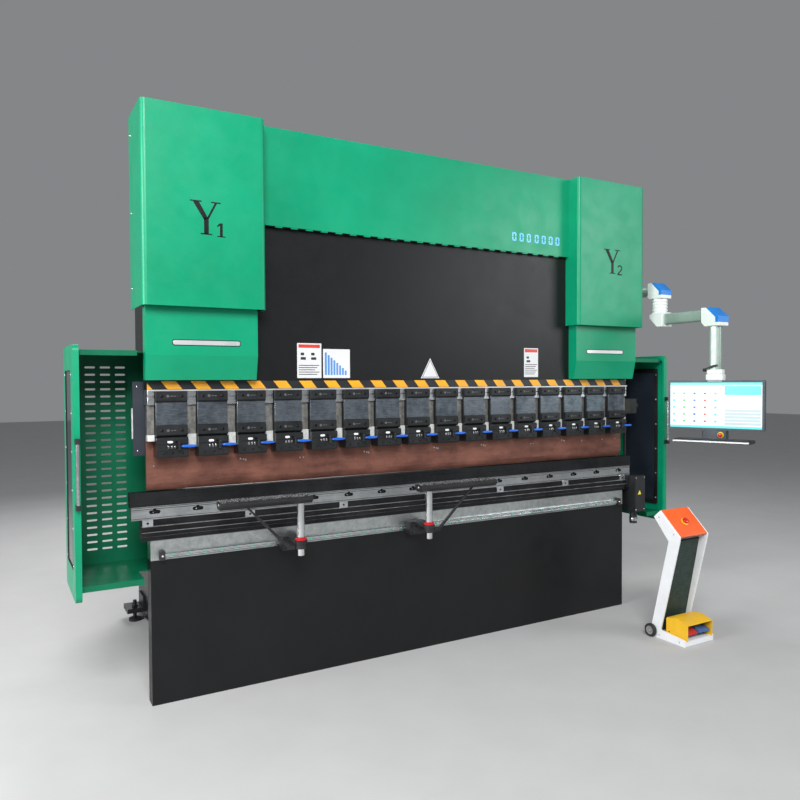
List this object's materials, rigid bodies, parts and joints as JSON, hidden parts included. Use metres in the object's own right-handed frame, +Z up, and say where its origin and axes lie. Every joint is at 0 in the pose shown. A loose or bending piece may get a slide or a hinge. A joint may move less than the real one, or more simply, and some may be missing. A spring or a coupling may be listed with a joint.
{
  "type": "press brake",
  "caption": "Hydraulic press brake with a guarded C-frame, a clamped upper punch over a long V die, front sheet supports, a swinging control pendant and a floor pedal stand.",
  "frame": {"origin": "on the floor, under the middle of the table plate, in the bending plane", "axes": "+X right along the bend, -Y towards the operator, +Z up"},
  "size_m": [3.888, 2.4783, 2.9],
  "materials": {
    "green_paint": "satin emerald powder coat",
    "black_paint": "semi-matte black with orange-peel texture",
    "bare_steel": "ground bare steel",
    "dark_steel": "blackened ground steel",
    "hydraulic_grey": "grey enamel",
    "rod_chrome": "hard chrome",
    "cabinet_grey": "satin emerald powder coat",
    "box_black": "moulded black",
    "copper_lacquer": "brown copper lacquer on tool steel",
    "clamp_black": "black oxide",
    "lever_blue": "blue sleeve on a steel lever",
    "support_black": "black enamel",
    "pendant_grey": "light grey anodised",
    "screen_black": "dark housing round a glass panel",
    "stop_red": "red moulded button",
    "stand_white": "white powder coat",
    "pedal_red_plastic": "ribbed red",
    "pedal_blue_plastic": "ribbed blue",
    "wheel_rubber": "solid rubber"
  },
  "bodies": {
    "root": {"side_frame_left": "black_paint", "side_frame_right": "black_paint", "lower_table": "black_paint", "crowning_unit": "dark_steel", "die_rail": "bare_steel", "v_die": "dark_steel", "hydraulic_cylinders": "hydraulic_grey", "cylinder_cover_left": "green_paint", "cylinder_cover_right": "green_paint", "crossbeam_cover": "green_paint", "oil_tank": "black_paint", "hydraulic_power_unit": "hydraulic_grey", "guard_panel_left": "green_paint", "guard_panel_right": "green_paint", "support_guide_rail": "bare_steel", "levelling_feet": "bare_steel", "backgauge_slides": "black_paint", "electrical_cabinet": "cabinet_grey", "side_electrics": "box_black", "pendant_bracket": "pendant_grey"},
    "ram": {"ram_beam": "black_paint", "piston_rods": "rod_chrome", "ram_cover_left": "green_paint", "ram_cover_right": "green_paint", "clamp_spacers": "bare_steel", "clamp_bodies": "clamp_black", "punch": "copper_lacquer"},
    "support_carriage_left": {"support_carriage_left": "support_black"},
    "support_carriage_right": {"support_carriage_right": "support_black"},
    "support_arm_left": {"support_arm_left": "support_black"},
    "support_arm_right": {"support_arm_right": "support_black"},
    "guard_door_left": {"guard_door_left": "green_paint"},
    "guard_door_right": {"guard_door_right": "green_paint"},
    "backgauge_beam": {"backgauge_beam": "dark_steel"},
    "backgauge_finger_left": {"backgauge_finger_left": "bare_steel"},
    "backgauge_finger_right": {"backgauge_finger_right": "bare_steel"},
    "pendant_arm": {"pendant_arm": "pendant_grey"},
    "pendant_monitor": {"pendant_monitor": "screen_black"},
    "monitor_estop": {"monitor_estop": "stop_red"},
    "pedal_stand": {"pedal_stand": "stand_white"},
    "pedal_red": {"pedal_red": "pedal_red_plastic"},
    "pedal_blue": {"pedal_blue": "pedal_blue_plastic"},
    "stand_estop": {"stand_estop": "stop_red"},
    "stand_wheels": {"stand_wheels": "wheel_rubber"},
    "clamp_lever_01": {"clamp_lever_01": "lever_blue"},
    "clamp_lever_02": {"clamp_lever_02": "lever_blue"},
    "clamp_lever_03": {"clamp_lever_03": "lever_blue"},
    "clamp_lever_04": {"clamp_lever_04": "lever_blue"},
    "clamp_lever_05": {"clamp_lever_05": "lever_blue"},
    "clamp_lever_06": {"clamp_lever_06": "lever_blue"},
    "clamp_lever_07": {"clamp_lever_07": "lever_blue"},
    "clamp_lever_08": {"clamp_lever_08": "lever_blue"},
    "clamp_lever_09": {"clamp_lever_09": "lever_blue"},
    "clamp_lever_10": {"clamp_lever_10": "lever_blue"},
    "clamp_lever_11": {"clamp_lever_11": "lever_blue"},
    "clamp_lever_12": {"clamp_lever_12": "lever_blue"},
    "clamp_lever_13": {"clamp_lever_13": "lever_blue"},
    "clamp_lever_14": {"clamp_lever_14": "lever_blue"},
    "clamp_lever_15": {"clamp_lever_15": "lever_blue"},
    "clamp_lever_16": {"clamp_lever_16": "lever_blue"}
  },
  "joints": [
    {"name": "ram_slide", "type": "slide", "parent": "root", "child": "ram", "axis": [0, 0, 1], "range_m": [0, 0.2]},
    {"name": "guard_door_left_hinge", "type": "hinge", "parent": "root", "child": "guard_door_left", "pos_m": [-1.93, 0.322, 0.77], "axis": [0, 0, -1], "range_deg": [0, 95]},
    {"name": "guard_door_right_hinge", "type": "hinge", "parent": "root", "child": "guard_door_right", "pos_m": [1.93, 0.322, 0.77], "axis": [0, 0, 1], "range_deg": [0, 95]},
    {"name": "support_left_slide", "type": "slide", "parent": "root", "child": "support_carriage_left", "axis": [1, 0, 0], "range_m": [-0.55, 0.55]},
    {"name": "support_right_slide", "type": "slide", "parent": "root", "child": "support_carriage_right", "axis": [1, 0, 0], "range_m": [-0.55, 1.5]},
    {"name": "support_left_swivel", "type": "hinge", "parent": "support_carriage_left", "child": "support_arm_left", "pos_m": [-0.895, -0.23, 0.76], "axis": [0, 0, 1], "range_deg": [0, 90]},
    {"name": "support_right_swivel", "type": "hinge", "parent": "support_carriage_right", "child": "support_arm_right", "pos_m": [-0.122, -0.23, 0.76], "axis": [0, 0, -1], "range_deg": [0, 90]},
    {"name": "backgauge_depth", "type": "slide", "parent": "root", "child": "backgauge_beam", "axis": [0, 1, 0], "range_m": [-0.17, 0.26]},
    {"name": "finger_left_slide", "type": "slide", "parent": "backgauge_beam", "child": "backgauge_finger_left", "axis": [1, 0, 0], "range_m": [-0.28, 0.38]},
    {"name": "finger_right_slide", "type": "slide", "parent": "backgauge_beam", "child": "backgauge_finger_right", "axis": [1, 0, 0], "range_m": [-0.38, 0.28]},
    {"name": "pendant_arm_swing", "type": "hinge", "parent": "root", "child": "pendant_arm", "pos_m": [1.8, -0.192, 2.12], "axis": [0, 0, 1], "range_deg": [-45, 75]},
    {"name": "pendant_screen_swing", "type": "hinge", "parent": "pendant_arm", "child": "pendant_monitor", "pos_m": [1.8, -0.64, 1.9], "axis": [0, 0, 1], "range_deg": [-45, 45]},
    {"name": "pedal_red_press", "type": "hinge", "parent": "pedal_stand", "child": "pedal_red", "pos_m": [1.413, -0.7, 0.058], "axis": [1, 0, 0], "range_deg": [0, 9], "stiffness_Nm_per_rad": 3, "springref_deg": -17.19},
    {"name": "pedal_blue_press", "type": "hinge", "parent": "pedal_stand", "child": "pedal_blue", "pos_m": [1.413, -0.7, 0.058], "axis": [1, 0, 0], "range_deg": [0, 9], "stiffness_Nm_per_rad": 3, "springref_deg": -17.19},
    {"name": "stand_wheels_spin", "type": "hinge", "parent": "pedal_stand", "child": "stand_wheels", "pos_m": [1.413, -0.587, 0.04], "axis": [1, 0, 0], "continuous": true},
    {"name": "stand_estop_press", "type": "slide", "parent": "pedal_stand", "child": "stand_estop", "axis": [0, 0.6872, -0.7265], "range_m": [0, 0.005], "stiffness_N_per_m": 500, "springref_m": -0.006},
    {"name": "monitor_estop_press", "type": "slide", "parent": "pendant_monitor", "child": "monitor_estop", "axis": [0.9272, 0.3746, 0], "range_m": [0, 0.005], "stiffness_N_per_m": 500, "springref_m": -0.006},
    {"name": "pedal_stand_push", "type": "slide", "parent": "root", "child": "pedal_stand", "axis": [0, 1, 0], "range_m": [-0.3, 0.2]},
    {"name": "clamp_lever_01_turn", "type": "hinge", "parent": "ram", "child": "clamp_lever_01", "pos_m": [-1.47, -0.111, 1.275], "axis": [0, 0, -1], "range_deg": [0, 90]},
    {"name": "clamp_lever_02_turn", "type": "hinge", "parent": "ram", "child": "clamp_lever_02", "pos_m": [-1.27, -0.111, 1.275], "axis": [0, 0, -1], "range_deg": [0, 90]},
    {"name": "clamp_lever_03_turn", "type": "hinge", "parent": "ram", "child": "clamp_lever_03", "pos_m": [-1.07, -0.111, 1.275], "axis": [0, 0, -1], "range_deg": [0, 90]},
    {"name": "clamp_lever_04_turn", "type": "hinge", "parent": "ram", "child": "clamp_lever_04", "pos_m": [-0.87, -0.111, 1.275], "axis": [0, 0, -1], "range_deg": [0, 90]},
    {"name": "clamp_lever_05_turn", "type": "hinge", "parent": "ram", "child": "clamp_lever_05", "pos_m": [-0.67, -0.111, 1.275], "axis": [0, 0, -1], "range_deg": [0, 90]},
    {"name": "clamp_lever_06_turn", "type": "hinge", "parent": "ram", "child": "clamp_lever_06", "pos_m": [-0.47, -0.111, 1.275], "axis": [0, 0, -1], "range_deg": [0, 90]},
    {"name": "clamp_lever_07_turn", "type": "hinge", "parent": "ram", "child": "clamp_lever_07", "pos_m": [-0.27, -0.111, 1.275], "axis": [0, 0, -1], "range_deg": [0, 90]},
    {"name": "clamp_lever_08_turn", "type": "hinge", "parent": "ram", "child": "clamp_lever_08", "pos_m": [-0.07, -0.111, 1.275], "axis": [0, 0, -1], "range_deg": [0, 90]},
    {"name": "clamp_lever_09_turn", "type": "hinge", "parent": "ram", "child": "clamp_lever_09", "pos_m": [0.13, -0.111, 1.275], "axis": [0, 0, -1], "range_deg": [0, 90]},
    {"name": "clamp_lever_10_turn", "type": "hinge", "parent": "ram", "child": "clamp_lever_10", "pos_m": [0.33, -0.111, 1.275], "axis": [0, 0, -1], "range_deg": [0, 90]},
    {"name": "clamp_lever_11_turn", "type": "hinge", "parent": "ram", "child": "clamp_lever_11", "pos_m": [0.53, -0.111, 1.275], "axis": [0, 0, -1], "range_deg": [0, 90]},
    {"name": "clamp_lever_12_turn", "type": "hinge", "parent": "ram", "child": "clamp_lever_12", "pos_m": [0.73, -0.111, 1.275], "axis": [0, 0, -1], "range_deg": [0, 90]},
    {"name": "clamp_lever_13_turn", "type": "hinge", "parent": "ram", "child": "clamp_lever_13", "pos_m": [0.93, -0.111, 1.275], "axis": [0, 0, -1], "range_deg": [0, 90]},
    {"name": "clamp_lever_14_turn", "type": "hinge", "parent": "ram", "child": "clamp_lever_14", "pos_m": [1.13, -0.111, 1.275], "axis": [0, 0, -1], "range_deg": [0, 90]},
    {"name": "clamp_lever_15_turn", "type": "hinge", "parent": "ram", "child": "clamp_lever_15", "pos_m": [1.33, -0.111, 1.275], "axis": [0, 0, -1], "range_deg": [0, 90]},
    {"name": "clamp_lever_16_turn", "type": "hinge", "parent": "ram", "child": "clamp_lever_16", "pos_m": [1.53, -0.111, 1.275], "axis": [0, 0, -1], "range_deg": [0, 90]}
  ]
}
